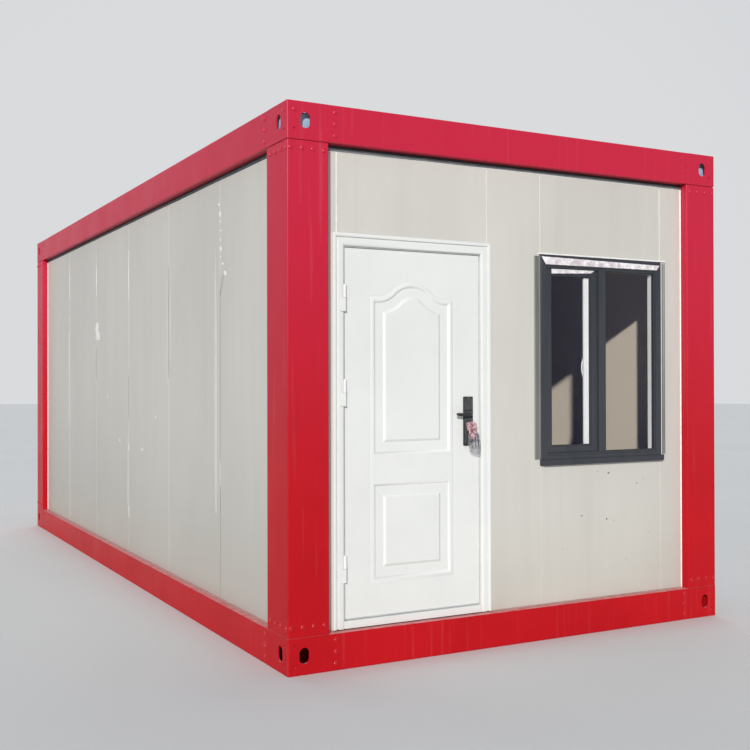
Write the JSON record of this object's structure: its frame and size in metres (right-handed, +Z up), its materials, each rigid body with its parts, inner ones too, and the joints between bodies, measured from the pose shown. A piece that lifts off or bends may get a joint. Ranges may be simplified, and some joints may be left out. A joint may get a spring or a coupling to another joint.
{
  "type": "flat-pack container cabin",
  "caption": "Flat-pack steel container cabin with corner fittings, bolted posts and beams, sandwich panel walls, a moulded outward door and a two-light window.",
  "frame": {"origin": "middle of the cabin's footprint, on the plane that it stands on", "axes": "+X to the right along the door end, +Y from the door end to the back, +Z up"},
  "size_m": [2.99, 6.055, 2.896],
  "materials": {
    "frame_red": "gloss paint on cold-formed steel",
    "wall_panel": "coil-coated sandwich panel, satin",
    "seal_strip": "matt foam and sealant strip",
    "roof_metal": "galvanised and coated sheet",
    "ceiling_white": "coated lining sheet",
    "floor_covering": "sheet vinyl on fibre-cement board",
    "joist_steel": "galvanised steel",
    "door_white": "semi-gloss powder coat on pressed steel",
    "hinge_white": "powder coat on steel",
    "lock_black": "satin black coating on zinc",
    "window_grey": "film-laminated PVC profile, white inside",
    "trim_grey": "satin anodised strip",
    "window_glass": "clear float glass"
  },
  "bodies": {
    "cabin": {"corner_fittings_front_left": "frame_red", "corner_fittings_front_right": "frame_red", "corner_fittings_back_left": "frame_red", "corner_fittings_back_right": "frame_red", "post_front_left": "frame_red", "post_front_right": "frame_red", "post_back_left": "frame_red", "post_back_right": "frame_red", "top_beam_front": "frame_red", "top_beam_back": "frame_red", "top_beam_left": "frame_red", "top_beam_right": "frame_red", "bottom_beam_front": "frame_red", "bottom_beam_back": "frame_red", "bottom_beam_left": "frame_red", "bottom_beam_right": "frame_red", "front_wall_left": "wall_panel", "front_wall_over_door": "wall_panel", "front_wall_middle": "wall_panel", "front_wall_under_window": "wall_panel", "front_wall_over_window": "wall_panel", "front_wall_right": "wall_panel", "left_wall_panel_1": "wall_panel", "left_wall_panel_2": "wall_panel", "left_wall_panel_3": "wall_panel", "left_wall_panel_4": "wall_panel", "left_wall_panel_5": "wall_panel", "left_wall_panel_6": "wall_panel", "right_wall_panel_1": "wall_panel", "right_wall_panel_2": "wall_panel", "right_wall_panel_3": "wall_panel", "right_wall_panel_4": "wall_panel", "right_wall_panel_5": "wall_panel", "right_wall_panel_6": "wall_panel", "back_wall_panel_1": "wall_panel", "back_wall_panel_2": "wall_panel", "back_wall_panel_3": "wall_panel", "head_seals": "seal_strip", "roof_sheet": "roof_metal", "ceiling_panel": "ceiling_white", "floor_board": "floor_covering", "floor_joists": "joist_steel", "door_frame": "door_white", "frame_hinge_barrels": "hinge_white", "window_frame": "window_grey", "window_trims": "trim_grey", "window_sash": "window_grey", "window_glass": "window_glass"},
    "door": {"door_leaf": "door_white", "leaf_hinge_barrels": "hinge_white", "lock_plates": "lock_black"},
    "lever": {"lever_handle": "lock_black"}
  },
  "joints": [
    {"name": "door_hinge", "type": "hinge", "parent": "cabin", "child": "door", "pos_m": [-1.136, -2.972, 1.2105], "axis": [0, 0, -1], "range_deg": [0, 110]},
    {"name": "lever_turn", "type": "hinge", "parent": "door", "child": "lever", "pos_m": [-0.356, -2.9375, 1.298], "axis": [0, -1, 0], "range_deg": [0, 45], "stiffness_Nm_per_rad": 1.2, "springref_deg": -17.19}
  ]
}
